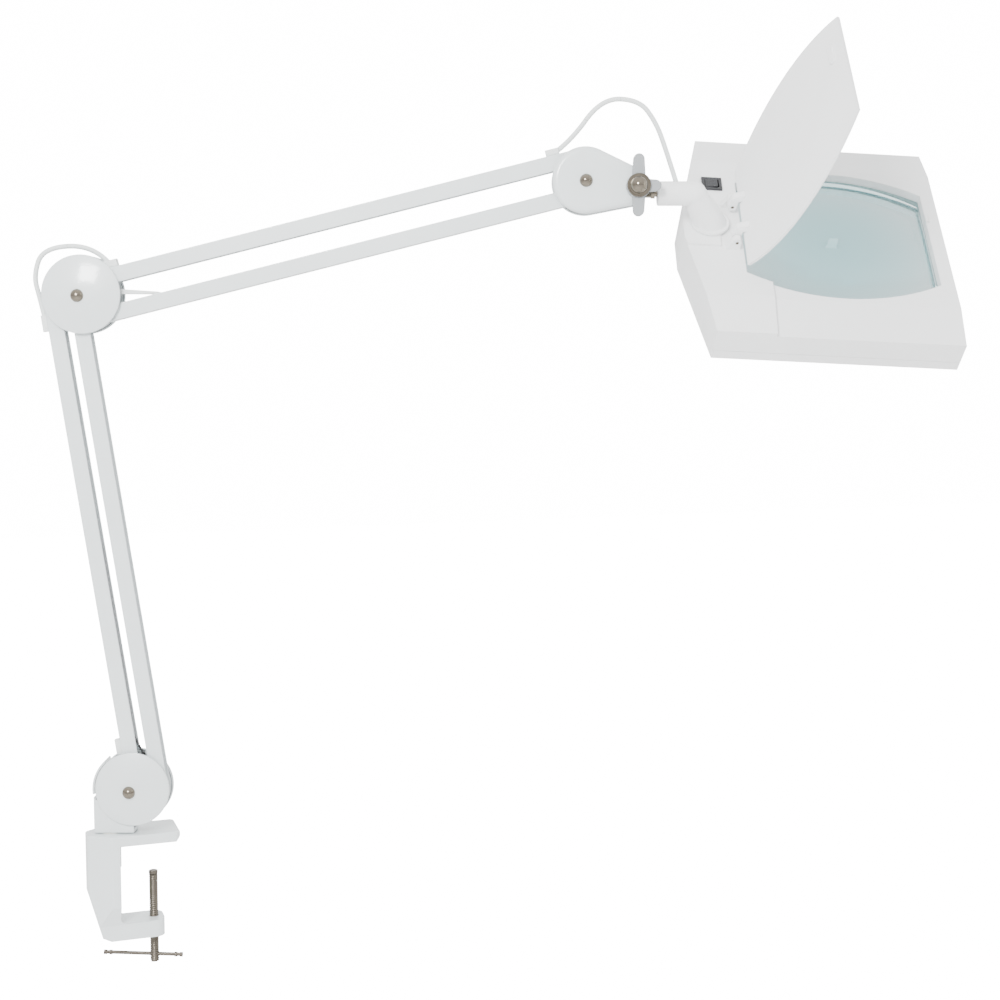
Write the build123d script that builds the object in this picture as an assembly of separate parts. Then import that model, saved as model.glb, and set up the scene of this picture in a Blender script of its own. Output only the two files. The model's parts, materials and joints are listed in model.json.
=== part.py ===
"""Desk-clamp magnifying lamp: spring arm with two parallelogram links and a rectangular lens head.

Row frame: +X along the clamp jaws into the table, +Z up, origin where the clamp screw's axis meets
the upper jaw's underside. The arm is modelled in its own plane, x along the reach, y across, z up
from the clamp's top, and turned into place about the swivel axis. The head is modelled in
its own frame, u along the head, v across it, n out of its top.
"""
from build123d import *
import math
import os

# clamp (mm)
JAW_TIP_X = 23.0
JAW_THICK = 9.5
CLAMP_BACK_X = -61.0
SPINE_INNER_X = -32.3
CLAMP_WIDTH = 46.0
SPINE_BACK_WIDTH = 18.0
LOWER_WIDTH = 30.0
JAW_OPENING = 75.5
LOWER_THICK = 16.0
LOWER_TIP_X = 9.0
SCREW_R = 4.25
SCREW_TOP_Z = -31.7
SCREW_BOTTOM_Z = -119.9
TOMMY_R = 1.75
TOMMY_LENGTH = 76.0
TOMMY_SLIDE = -11.0
TOMMY_YAW = -25.0
SWIVEL_X = -37.0
SPIGOT_R = 6.0
BUSH_R = 8.0
BUSH_DEPTH = 34.0
SET_SCREW_Z = -8.0
ARM_YAW = -20.0
ARM_FOOT_Z = 18.0

# running fit between a pin and its hole
FIT = 0.05
# fixed fit that only has to clear
SNUG = 0.02

# link bars
BAR_WIDTH = 14.2
BAR_DEPTH = 13.0
BAR_WALL = 1.2
LOWER_ARM = 448.0
UPPER_ARM = 454.0
LOWER_LEAN = 8.55
UPPER_RISE = 14.06
PIN_R = 2.5

# pivots in the arm's plane (x, z)
BASE_PIVOT_A = (23.2, 40.9)
LOWER_OFFSET = (23.8, -5.6)
ELBOW_SHIFT = (39.7, 18.0)
UPPER_OFFSET = (7.0, -32.0)
KNOB_FROM_END = (48.6, -28.2)

# brackets and covers
CHEEK_IN = 7.2
CHEEK_THICK = 2.0
CHEEK_OUT = CHEEK_IN + CHEEK_THICK
COVER_SKIRT = 9.3
COVER_RIM = 11.4
COVER_TOP = 16.9
COVER_WALL = 1.4
BASE_DISC = (22.0, 34.0)
BASE_DISC_R = 34.2
ELBOW_DISC_R = 35.5
END_DISC_R = 29.8
END_TIP_R = 15.0
END_CUT = 4.7
SCREW_DOME_R = 6.0

# neck
NECK_R = 11.0
NECK_DROP = 4.8
NECK_START = 18.5
NECK_ELBOW = 51.7
NECK_TUBE = 39.0
NECK_TUBE_ANGLE = 30.6
HEAD_ROLL = 46.0
HEAD_DROOP = 4.0
COLLAR_R = 18.0
COLLAR_N = 5.5

# head
HEAD_FRONT_U = 221.0
HEAD_SHOULDER_U = -2.0
HEAD_NOSE_U = -24.5
HEAD_NOSE_HALF = 18.0
HEAD_HALF = 130.0
HEAD_FLAT_HALF = 90.0
WING_DROP = 7.5
HEAD_BOTTOM = -39.0
HEAD_SPLIT = -28.5
HEAD_WALL = 2.5
PANEL_RISE = 3.5
PANEL_END_U = 52.0
PEDESTAL_RISE = 2.0
OPEN_U0 = 29.5
OPEN_U1 = 208.0
OPEN_HALF_END = 61.0
OPEN_HALF_MID = 85.0
LENS_RADIUS = 600.0
LENS_TOP = -5.0
LENS_THICK = 24.0
GASKET_TOP = -8.0
GASKET_BOTTOM = -26.0
LID_PIVOT_U = 22.0
LID_PIVOT_N = 11.0
LID_OPEN = 72.0
LID_THICK = 2.4
SWITCH_U = 7.0
SWITCH_V = 57.0
CABLE_R = 2.3


def add2(a, b):
    """Sum of two points of a plane."""
    return (a[0] + b[0], a[1] + b[1])


def along(point, length, angle):
    """Point at a distance from another, at an angle above +x."""
    return (point[0] + length * math.cos(math.radians(angle)),
            point[1] + length * math.sin(math.radians(angle)))


BASE_PIVOT_B = add2(BASE_PIVOT_A, LOWER_OFFSET)
ELBOW_PIVOT_A = along(BASE_PIVOT_A, LOWER_ARM, 90 + LOWER_LEAN)
ELBOW_PIVOT_B = add2(ELBOW_PIVOT_A, LOWER_OFFSET)
ARM_PIVOT_A = add2(ELBOW_PIVOT_A, ELBOW_SHIFT)
ARM_PIVOT_B = add2(ARM_PIVOT_A, UPPER_OFFSET)
END_PIVOT_A = along(ARM_PIVOT_A, UPPER_ARM, UPPER_RISE)
END_PIVOT_B = add2(END_PIVOT_A, UPPER_OFFSET)
ELBOW_DISC = add2(ELBOW_PIVOT_A, (27.9, 4.8))
END_DISC = add2(END_PIVOT_A, (1.9, -22.2))
KNOB = add2(END_PIVOT_A, KNOB_FROM_END)
BASE_SPRING_PIN = (37.0, 22.0)
ELBOW_SPRING_PIN = (-8.0, 489.0)

ARM_FRAME = Location((SWIVEL_X, 0, ARM_FOOT_Z)) * Location((0, 0, 0), (0, 0, ARM_YAW))

written = {}


def save(name, shapes, place=None):
    """Write one node: separate solids, placed in the row frame."""
    if not isinstance(shapes, (list, tuple)):
        shapes = [shapes]
    solids = []
    for shape in shapes:
        for solid in shape.solids():
            solids.append(place * solid if place is not None else solid)
    node = solids[0] if len(solids) == 1 else Compound(children=solids)
    export_step(node, f"parts/{name}.step")
    written[name] = sum(s.volume for s in solids)


def rod_y(point, radius, y0, y1):
    """Cylinder across the arm's plane between two y values."""
    centre = Location((point[0], (y0 + y1) / 2, point[1]), (90, 0, 0))
    return centre * Cylinder(radius, y1 - y0)


def plate_y(sketch, y0, y1):
    """Sketch drawn in (x, z), thickened from y0 to y1."""
    plane = Plane(origin=(0, y1, 0), x_dir=(1, 0, 0), z_dir=(0, -1, 0))
    return extrude(plane * sketch, amount=y1 - y0)


def disc(point, radius):
    """Circle of the arm's plane."""
    return Pos(point[0], point[1]) * Circle(radius)


def hull(*discs):
    """Outline stretched round several circles."""
    edges = []
    for item in discs:
        edges.extend(item.edges())
    return make_hull(edges)


def rod_between(start, end, radius):
    """Round rod between two points in space."""
    a = Vector(start)
    b = Vector(end)
    plane = Plane(origin=a, z_dir=(b - a))
    return extrude(plane * Circle(radius), amount=(b - a).length)


# ---------------------------------------------------------------- clamp

def make_clamp():
    """C-shaped clamp frame with its bore for the swivel bush."""
    low = -JAW_OPENING - LOWER_THICK
    side = Polyline(
        (CLAMP_BACK_X, JAW_THICK), (JAW_TIP_X, JAW_THICK), (JAW_TIP_X, 5.0), (JAW_TIP_X - 4, 0),
        (SPINE_INNER_X, 0), (SPINE_INNER_X, -JAW_OPENING), (LOWER_TIP_X, -JAW_OPENING),
        (LOWER_TIP_X, low), (CLAMP_BACK_X + 20, low), (CLAMP_BACK_X + 12, low + 4),
        (CLAMP_BACK_X, -45.0), close=True)
    frame = extrude(Plane.XZ * make_face(side), amount=CLAMP_WIDTH / 2, both=True)
    corner = frame.edges().filter_by(Axis.Y).sort_by_distance((SPINE_INNER_X, 0, -JAW_OPENING))[0]
    frame = fillet(corner, 6.0)
    # seen from above the back narrows and the corners of the jaw are rounded
    half = CLAMP_WIDTH / 2
    back = SPINE_BACK_WIDTH / 2
    plan = make_face(Polyline(
        (CLAMP_BACK_X, -back), (-40.0, -half), (JAW_TIP_X, -half), (JAW_TIP_X, half), (-40.0, half),
        (CLAMP_BACK_X, back), close=True))
    plan = fillet(plan.vertices(), 5.0)
    frame &= Pos(0, 0, low - 1) * extrude(plan, amount=JAW_THICK - low + 2)
    # the lower jaw is narrower and ends in a rounded nose
    narrow = LOWER_WIDTH / 2
    cut_z = -JAW_OPENING + 18.0
    taper = make_face(Polyline(
        (-half - 5, cut_z), (-half, cut_z), (-narrow, -JAW_OPENING - 1), (-narrow, low - 5),
        (-half - 5, low - 5), close=True))
    for face in (Plane.YZ * taper, Plane.YZ * mirror(taper, about=Plane.YZ)):
        frame -= extrude(face, amount=100, both=True)
    nose = Pos(LOWER_TIP_X - 50, 0) * RectangleRounded(100, LOWER_WIDTH, 9)
    block = Pos(LOWER_TIP_X, 0) * Rectangle(30, 100)
    corners = Pos(0, 0, low - 5) * extrude(block - nose, amount=JAW_OPENING / 2)
    frame -= corners
    frame = fillet(frame.edges().group_by(Axis.Z)[-1], 1.6)
    frame -= Pos(SWIVEL_X, 0, JAW_THICK - BUSH_DEPTH / 2) * Cylinder(BUSH_R + SNUG, BUSH_DEPTH)
    frame -= Pos(0, 0, -JAW_OPENING - 20) * Cylinder(SCREW_R + FIT, 60)
    frame -= rod_y((SWIVEL_X, SET_SCREW_Z), 2.0 + SNUG, 0, CLAMP_WIDTH)
    save("clamp_frame", frame)

    bush = Pos(0, 0, JAW_THICK - BUSH_DEPTH / 2) * Cylinder(BUSH_R, BUSH_DEPTH)
    bush += Pos(0, 0, JAW_THICK + 0.4) * Cylinder(BUSH_R + 2, 0.8)
    bush -= Pos(0, 0, JAW_THICK + 2) * Pos(0, 0, -BUSH_DEPTH / 2) * Cylinder(SPIGOT_R + FIT, BUSH_DEPTH)
    save("swivel_bush", Pos(SWIVEL_X, 0, 0) * bush)

    outer = CLAMP_WIDTH / 2 - 2.0
    set_screw = rod_y((SWIVEL_X, SET_SCREW_Z), 2.0, BUSH_R + 0.1, outer)
    face = Plane(origin=(SWIVEL_X, outer, SET_SCREW_Z), x_dir=(1, 0, 0), z_dir=(0, -1, 0))
    set_screw -= extrude(face * RegularPolygon(1.2, 6), amount=3)
    save("swivel_set_screw", set_screw)


def make_clamp_screw():
    """Threaded rod, its plain tip and the tommy bar."""
    tip = Pos(0, 0, SCREW_TOP_Z - 1.5) * Cylinder(SCREW_R, 3)
    tip = fillet(tip.edges().group_by(Axis.Z)[-1], 0.8)
    tip -= Pos(0, 0, SCREW_TOP_Z - 2.3) * Cylinder(2.0, 1.6)
    save("screw_tip", tip)
    top = SCREW_TOP_Z - 3.1
    length = top - SCREW_BOTTOM_Z
    rod = Pos(0, 0, top - length / 2) * Cylinder(SCREW_R, length)
    rod = chamfer(rod.edges().group_by(Axis.Z)[0], 0.8)
    rod += Pos(0, 0, top + 0.6) * Cylinder(1.9, 1.2)
    tommy_z = SCREW_BOTTOM_Z + 7.0
    across = Location((0, 0, tommy_z), (0, 0, TOMMY_YAW)) * Location((0, 0, 0), (0, 90, 0))
    rod -= across * Cylinder(TOMMY_R + 0.1, 30)
    save("clamp_screw", rod)
    bar = Cylinder(TOMMY_R, TOMMY_LENGTH)
    for end in (-1, 1):
        bar += Pos(0, 0, end * (TOMMY_LENGTH / 2 - 1.2)) * Cylinder(TOMMY_R + 0.5, 2.4)
        bar += Pos(0, 0, end * (TOMMY_LENGTH / 2 - 6.5)) * Cylinder(TOMMY_R + 0.5, 2.4)
    save("tommy_bar", across * (Pos(0, 0, TOMMY_SLIDE) * bar))


# ---------------------------------------------------------------- brackets

def dome_cap(radius, rim, top):
    """Disc with a straight skirt up to the rim and a shallow spherical top: axis +Z, foot at 0."""
    rise = top - rim
    sphere_r = (radius ** 2 + rise ** 2) / (2 * rise)
    body = Pos(0, 0, top / 2) * Cylinder(radius, top)
    return body & (Pos(0, 0, top - sphere_r) * Sphere(sphere_r))


def dome_cover(radius):
    """Shallow domed disc cover, open below: axis +Z, skirt at 0."""
    rim = COVER_RIM - COVER_SKIRT
    top = COVER_TOP - COVER_SKIRT
    return dome_cap(radius, rim, top) - dome_cap(radius - COVER_WALL, rim - 0.4, top - COVER_WALL)


def teardrop_cover(centre, radius, tip, tip_radius, cut_x):
    """Domed cover on a teardrop outline drawn in (x, z), open below: axis +Z, skirt at 0."""
    top = COVER_TOP - COVER_SKIRT

    def body(inset, height, rounding):
        outline = hull(disc(centre, radius - inset), disc(tip, tip_radius - inset))
        solid = extrude(outline, amount=height)
        return fillet(solid.edges().group_by(Axis.Z)[-1], rounding)

    shell = body(0, top, 5.0) - body(COVER_WALL, top - COVER_WALL, 3.8)
    shell -= Pos(cut_x + 50, tip[1], 0) * Box(100, 300, 100)
    return shell


def face_side(shape, side):
    """Turn a shape drawn upwards in (x, z) to face -y (side -1) or +y (side 1)."""
    front = Plane(origin=(0, -COVER_SKIRT, 0), x_dir=(1, 0, 0), z_dir=(0, -1, 0))
    placed = front.location * shape
    return placed if side < 0 else mirror(placed, about=Plane.XZ)


def cover_screw(point, side):
    """Domed cap screw through a cover into the cheek's boss."""
    reach = COVER_TOP - COVER_SKIRT
    dome = Pos(point[0], point[1], reach - 1.0) * Sphere(SCREW_DOME_R)
    dome -= Pos(point[0], point[1], reach - 10) * Box(20, 20, 20)
    shank = Pos(point[0], point[1], (reach + CHEEK_OUT - COVER_SKIRT) / 2) * Cylinder(
        2.0, reach - (CHEEK_OUT - COVER_SKIRT))
    return face_side(dome + shank, side)


def bracket_hardware(prefix, pivots):
    """Pivot pins and washers of one bracket."""
    pins = []
    washers = []
    for point in pivots:
        pin = rod_y(point, PIN_R, -CHEEK_OUT - 1.0, CHEEK_OUT + 1.0)
        pin += rod_y(point, PIN_R + 1.0, -CHEEK_OUT - 1.0, -CHEEK_OUT)
        pin += rod_y(point, PIN_R + 1.0, CHEEK_OUT, CHEEK_OUT + 1.0)
        pins.append(pin)
        for y0 in (-CHEEK_IN, CHEEK_IN - 0.5):
            washers.append(rod_y(point, PIN_R + 3, y0, y0 + 0.5) - rod_y(point, PIN_R + SNUG, y0, y0 + 0.5))
    save(prefix + "_pivot_pins", pins, ARM_FRAME)
    save(prefix + "_washers", washers, ARM_FRAME)


def covers_for(prefix, shell, point, extra_holes=()):
    """Front and rear covers with their dome screws."""
    covers = []
    screws = []
    for side in (-1, 1):
        cover = face_side(shell, side)
        cover -= rod_y(point, 2.0 + SNUG, -40, 40)
        for hole, radius in extra_holes:
            cover -= rod_y(hole, radius, -40, 40)
        covers.append(cover)
        screws.append(cover_screw(point, side))
    save(prefix + "_covers", covers, ARM_FRAME)
    save(prefix + "_cover_screws", screws, ARM_FRAME)


def cheek_pair(outline, pivots, extra):
    """Both cheek plates of a bracket."""
    front = cheek(outline, pivots, -CHEEK_OUT, -CHEEK_IN, extra)
    rear = cheek(outline, pivots, CHEEK_IN, CHEEK_OUT, extra)
    return [front, rear]


def cheek(outline, pivots, y0, y1, extra=()):
    """One cheek plate with its pivot holes."""
    plate = plate_y(outline, y0, y1)
    for point in pivots:
        plate -= rod_y(point, PIN_R + SNUG, y0 - 1, y1 + 1)
    for point, radius in extra:
        plate -= rod_y(point, radius + SNUG, y0 - 1, y1 + 1)
    return plate


def make_base():
    """Swivel yoke, its spigot, covers and pivots."""
    x, z = BASE_DISC
    foot = JAW_THICK + 1.0 - ARM_FOOT_Z
    outline = disc(BASE_DISC, BASE_DISC_R - 2.0) + Pos(4.0, 8.0) * Rectangle(36.8, 31.0)
    pivots = (BASE_PIVOT_A, BASE_PIVOT_B)
    pin_hole = ((BASE_SPRING_PIN, 2.0),)
    yoke = cheek(outline, pivots, -CHEEK_OUT, -CHEEK_IN, pin_hole)
    yoke += cheek(outline, pivots, CHEEK_IN, CHEEK_OUT, pin_hole)
    yoke += Pos(4.0, 0, foot + 1.5) * Box(36.8, 2 * CHEEK_OUT, 3.0)
    yoke += Pos(-13.4, 0, (foot + 26) / 2) * Box(2.0, 2 * CHEEK_OUT, 26 - foot)
    wedge = make_face(Polyline((0, 0), along((0, 0), 70, 134), along((0, 0), 90, 160),
                               along((0, 0), 70, 187), close=True))
    hood = (Circle(BASE_DISC_R + 2.6) - Circle(BASE_DISC_R - 3.0)) & wedge
    yoke += plate_y(Pos(x, z) * hood, -CHEEK_OUT, CHEEK_OUT)
    rim = (Circle(BASE_DISC_R + 2.6) - Circle(BASE_DISC_R + 0.6)) & wedge
    yoke += plate_y(Pos(x, z) * rim, -COVER_RIM, COVER_RIM)
    yoke -= Pos(0, 0, foot) * Cylinder(SPIGOT_R - 2 + SNUG, 20)
    save("base_yoke", yoke, ARM_FRAME)
    spigot = Pos(0, 0, foot - 0.1 - (BUSH_DEPTH - 4) / 2) * Cylinder(SPIGOT_R, BUSH_DEPTH - 4)
    spigot += Pos(0, 0, foot + 1.5) * Cylinder(SPIGOT_R - 2, 3.4)
    spigot += Pos(0, 0, foot + 3.9) * Cylinder(SPIGOT_R, 1.6)
    save("base_spigot", spigot, ARM_FRAME)
    covers_for("base", Pos(x, z, 0) * dome_cover(BASE_DISC_R), add2(BASE_DISC, (-2.0, -1.6)))
    bracket_hardware("base", pivots)
    save("base_spring_pin", rod_y(BASE_SPRING_PIN, 2.0, -CHEEK_OUT, CHEEK_OUT), ARM_FRAME)


def make_elbow():
    """Elbow bracket: two cheeks, covers and four pivots."""
    pivots = (ELBOW_PIVOT_A, ELBOW_PIVOT_B, ARM_PIVOT_A, ARM_PIVOT_B)
    outline = disc(ELBOW_DISC, ELBOW_DISC_R - 2.0)
    pin_hole = ((ELBOW_SPRING_PIN, 2.0),)
    save("elbow_cheeks", cheek_pair(outline, pivots, pin_hole), ARM_FRAME)
    shell = Pos(ELBOW_DISC[0], ELBOW_DISC[1], 0) * dome_cover(ELBOW_DISC_R)
    covers_for("elbow", shell, add2(ELBOW_DISC, (-2.0, -1.4)))
    bracket_hardware("elbow", pivots)
    save("elbow_spring_pin", rod_y(ELBOW_SPRING_PIN, 2.0, -CHEEK_OUT, CHEEK_OUT), ARM_FRAME)


def make_end():
    """Head-end bracket with teardrop covers and the tilt bolt."""
    pivots = (END_PIVOT_A, END_PIVOT_B)
    cut_x = KNOB[0] + END_CUT
    outline = hull(disc(END_DISC, END_DISC_R - 2.0), disc(KNOB, END_TIP_R - 2.0))
    trim = Pos(cut_x + 49.4, KNOB[1]) * Rectangle(100, 300)
    outline -= trim
    bolt_hole = ((KNOB, 3.0),)
    save("end_cheeks", cheek_pair(outline, pivots, bolt_hole), ARM_FRAME)
    shell = teardrop_cover(END_DISC, END_DISC_R, KNOB, END_TIP_R, cut_x)
    covers_for("end", shell, add2(END_DISC, (0.4, -0.8)), ((KNOB, 3.2),))
    bracket_hardware("end", pivots)
    bolt = rod_y(KNOB, 3.0, -COVER_TOP - 12, COVER_TOP + 0.1)
    bolt += rod_y(KNOB, 7.0, COVER_TOP + 0.1, COVER_TOP + 2.1)
    bolt += (Location((KNOB[0], COVER_TOP + 1.0, KNOB[1])) * Sphere(6.5)) & rod_y(
        KNOB, 7.0, COVER_TOP + 2.0, COVER_TOP + 9)
    save("tilt_bolt", bolt, ARM_FRAME)


# ---------------------------------------------------------------- link bars

def bar_plane(start, end):
    """Plane along a bar: local x along it, local y to its left, local z towards the viewer."""
    a = (start[0], 0, start[1])
    return Plane(origin=a, x_dir=(end[0] - start[0], 0, end[1] - start[1]), z_dir=(0, -1, 0))


def channel(start, end, open_side):
    """Pressed channel bar with rounded ends, open on its left (1) or right (-1)."""
    length = math.dist(start, end)
    body = Pos(length / 2, 0, 0) * extrude(
        SlotCenterToCenter(length, BAR_WIDTH), amount=BAR_DEPTH / 2, both=True)
    inner = BAR_DEPTH - 2 * BAR_WALL
    body -= Pos(length / 2, open_side * BAR_WALL, 0) * Box(length + 30, BAR_WIDTH, inner)
    for x in (0, length):
        body -= Pos(x, 0, 0) * Cylinder(PIN_R + FIT, BAR_DEPTH + 2)
    return bar_plane(start, end).location * body


def boot(start, end, at, length, rise, route):
    """Moulded cable boot on a bar's web, bored for the end of the cable's route."""
    block = Pos(at, (BAR_WIDTH + rise) / 2, 0) * Box(length, rise, 7.5)
    block = fillet(block.edges().filter_by(Axis.X), 1.6)
    mouth = Vector(*route[0])
    run = (Vector(*route[1]) - mouth).normalized()
    return bar_plane(start, end).location * block - rod_between(mouth, mouth + run * 12, CABLE_R + SNUG)


def spring_tube(start, end, at, length, shift):
    """Closed-wound coil spring as a tube lying in a bar's channel."""
    tube = Cylinder(4.6, length) - Cylinder(3.2, length + 1)
    lying = Location((at + length / 2, shift, 0), (0, 90, 0)) * tube
    return bar_plane(start, end).location * lying


def bar_point(start, end, at, shift):
    """Point in space beside a bar's centre line."""
    length = math.dist(start, end)
    dx = (end[0] - start[0]) / length
    dz = (end[1] - start[1]) / length
    return (start[0] + at * dx - shift * dz, 0, start[1] + at * dz + shift * dx)


def wire(points, radius):
    """Bent wire through points: straight rods with ball corners."""
    path = rod_between(points[0], points[1], radius)
    for a, b in zip(points[1:], points[2:]):
        path += rod_between(a, b, radius)
        path += Pos(*a) * Sphere(radius)
    return path


SPRING_LENGTH = 170.0
SPRING_SHIFT = 0.8


def make_lower_bars():
    """Lower parallelogram: left bar with spring and boots, right bar."""
    a, b = BASE_PIVOT_A, ELBOW_PIVOT_A
    save("lower_bar_left", channel(a, b, -1), ARM_FRAME)
    save("lower_bar_right", channel(BASE_PIVOT_B, ELBOW_PIVOT_B, -1), ARM_FRAME)
    inlet = (bar_point(a, b, 29, BOOT_MIDDLE), bar_point(a, b, 10, BOOT_MIDDLE))
    boots = [boot(a, b, 33, 14, 6, inlet), boot(a, b, LOWER_ARM - 20, 15, 6, elbow_route()[0])]
    save("lower_cable_boots", boots, ARM_FRAME)
    save("lower_spring", spring_tube(a, b, 52, SPRING_LENGTH, -SPRING_SHIFT), ARM_FRAME)
    pin = BASE_SPRING_PIN
    middle = (29.8, 0, 67.0)
    points = [(pin[0] - 0.4, 0, pin[1] + 3.2), middle, bar_point(a, b, 51.8, -SPRING_SHIFT)]
    hook = wire(points, 1.0)
    way = (Vector(*middle) - Vector(*points[0])).normalized()
    hook += rod_between(Vector(*middle) - way * 7, Vector(*middle) - way * 0.5, 2.2)
    save("lower_spring_hook", hook, ARM_FRAME)


def make_upper_bars():
    """Upper parallelogram: top bar with boots, bottom bar with spring."""
    a, b = ARM_PIVOT_A, END_PIVOT_A
    save("upper_bar_top", channel(a, b, -1), ARM_FRAME)
    save("upper_bar_bottom", channel(ARM_PIVOT_B, END_PIVOT_B, 1), ARM_FRAME)
    boots = [boot(a, b, 17, 12, 7, elbow_route()[1][::-1]), boot(a, b, UPPER_ARM - 26, 12, 6, head_route()[0])]
    save("upper_cable_boots", boots, ARM_FRAME)
    c, d = ARM_PIVOT_B, END_PIVOT_B
    save("upper_spring", spring_tube(c, d, 78, SPRING_LENGTH, SPRING_SHIFT), ARM_FRAME)
    pin = ELBOW_SPRING_PIN
    points = [(pin[0] + 3.2, 0, pin[1] + 0.4), (pin[0] + 26, 0, pin[1] + 3.0),
              bar_point(c, d, 55, 6.8), bar_point(c, d, 77.8, SPRING_SHIFT)]
    hook = wire(points, 1.0)
    tongue = make_hull(disc((10.0, 491.6), 2.6).edges() + disc((52.0, 490.2), 1.3).edges())
    hook += plate_y(tongue, -2.0, 2.0)
    save("upper_spring_hook", hook, ARM_FRAME)


# ---------------------------------------------------------------- cable loops

def loop_tube(name, points):
    """Round cable along straight runs joined by tangent arcs; prints its radii."""
    runs = [math.dist(p, q) for p, q in zip(points, points[1:])]
    radii = []
    for i in range(1, len(points) - 1):
        p = Vector(*points[i]) - Vector(*points[i - 1])
        q = Vector(*points[i + 1]) - Vector(*points[i])
        turn = math.radians(p.get_angle(q))
        radii.append(0.45 * min(runs[i - 1], runs[i]) / math.tan(turn / 2))
    path = FilletPolyline(*points, radius=radii)
    start = Plane(origin=path @ 0, z_dir=path % 0)
    tube = sweep(start * Circle(CABLE_R), path)
    section = math.pi * CABLE_R ** 2 * path.length
    print(name, "radii", [round(r, 1) for r in radii], "length", round(path.length, 1),
          "volume/section", round(tube.volume / section, 4))
    save(name, tube, ARM_FRAME)


BOOT_MIDDLE = BAR_WIDTH / 2 + 3.0


def between(a, b, share):
    """Point on the line from one point to another."""
    return tuple(p + (q - p) * share for p, q in zip(a, b))


def elbow_route():
    """Corner points of the loop over the elbow, in its two halves."""
    start = bar_point(BASE_PIVOT_A, ELBOW_PIVOT_A, LOWER_ARM - 14.5, BOOT_MIDDLE)
    finish = bar_point(ARM_PIVOT_A, END_PIVOT_A, 15.0, BAR_WIDTH / 2 + 5.0)
    x, z = ELBOW_PIVOT_A
    left = (x - 8.0, 0, z + 47.0)
    right = (x + 37.0, 0, z + 49.5)
    top = between(left, right, 0.5)
    lower = [start, (x - 12.0, 0, z + 2.0), (x - 17.0, 0, z + 22.0), left, top]
    return lower, [top, right, finish]


def head_route():
    """Corner points of the loop over the head's joints, in its three stretches."""
    x, z = END_PIVOT_A
    start = bar_point(ARM_PIVOT_A, END_PIVOT_A, UPPER_ARM - 22.0, BOOT_MIDDLE)
    corners = [(x - 9.5, 0, z + 15.5), (x + 16.5, 0, z + 51.5), (x + 50.5, 0, z + 50.0),
               (x + 65.4, 0, z + 30.4), (x + 74.2, 0, z + 7.8)]
    middle = between(corners[0], corners[1], 0.46)
    apex = between(corners[1], corners[2], 0.5)
    hole = (KNOB[0] + 36.4, 0, KNOB[1] + 2.7)
    rear = [start, corners[0], middle]
    return rear, [middle, corners[1], apex], [apex, corners[2], corners[3], corners[4], hole]


def make_cables():
    """The two loops where the lead crosses the elbow and the head's joints."""
    lower, upper = elbow_route()
    loop_tube("elbow_cable_lower", lower)
    loop_tube("elbow_cable_upper", upper)
    rear, middle, front = head_route()
    loop_tube("head_cable_rear", rear)
    loop_tube("head_cable_middle", middle)
    loop_tube("head_cable_front", front)


# ---------------------------------------------------------------- tilt joint and neck

NECK_AXIS_Z = KNOB[1] - NECK_DROP
ELBOW_POINT = Vector(KNOB[0] + NECK_ELBOW, 0, NECK_AXIS_Z)


def head_axes():
    """Unit vectors of the head frame in the arm frame: u along, v across, n up."""
    roll = math.radians(HEAD_ROLL)
    droop = math.radians(HEAD_DROOP)
    v = Vector(0, math.cos(roll), math.sin(roll))
    n0 = Vector(0, -math.sin(roll), math.cos(roll))
    x = Vector(1, 0, 0)
    u = x * math.cos(droop) - n0 * math.sin(droop)
    n = n0 * math.cos(droop) + x * math.sin(droop)
    return u, v, n


HEAD_U, HEAD_V, HEAD_N = head_axes()
TUBE_DIR = HEAD_N * math.cos(math.radians(NECK_TUBE_ANGLE)) - HEAD_U * math.sin(
    math.radians(NECK_TUBE_ANGLE))
COLLAR = ELBOW_POINT - TUBE_DIR * NECK_TUBE
HEAD_ORIGIN = COLLAR - HEAD_N * COLLAR_N
HEAD_LOCAL = Plane(origin=HEAD_ORIGIN, x_dir=HEAD_U, z_dir=HEAD_N)
HEAD_FRAME = ARM_FRAME * HEAD_LOCAL.location


def make_knob():
    """Wing knob with its washers and dome cap."""
    y_front = -COVER_TOP - 0.4
    hub = rod_y(KNOB, 11.0, y_front - 9, y_front)
    for angle, reach in ((90, 28.0), (270, 27.0), (0, 20.0)):
        tip = along(KNOB, reach - 5, angle)
        wing = hull(disc(KNOB, 6.4), disc(tip, 5.0))
        hub += plate_y(wing, y_front - 8, y_front - 2)
    hub -= rod_y(KNOB, 3.0 + FIT, y_front - 20, y_front + 1)
    save("wing_knob", hub, ARM_FRAME)
    y_hub = y_front - 9
    ring = rod_y(KNOB, 10.5, y_hub - 1.4, y_hub) - rod_y(KNOB, 3.0 + FIT, y_hub - 3, y_hub + 1)
    collar = rod_y(KNOB, 9.0, y_hub - 3.0, y_hub - 1.4) - rod_y(KNOB, 3.0 + FIT, y_hub - 4, y_hub + 1)
    save("knob_washers", [ring, collar], ARM_FRAME)
    cap = Location((KNOB[0], y_hub - 3.0, KNOB[1])) * Sphere(7.6)
    cap &= rod_y(KNOB, 9.0, y_hub - 12, y_hub - 3.0)
    cap -= rod_y(KNOB, 3.0 + FIT, y_hub - 5, y_hub)
    save("knob_cap", cap, ARM_FRAME)


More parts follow.
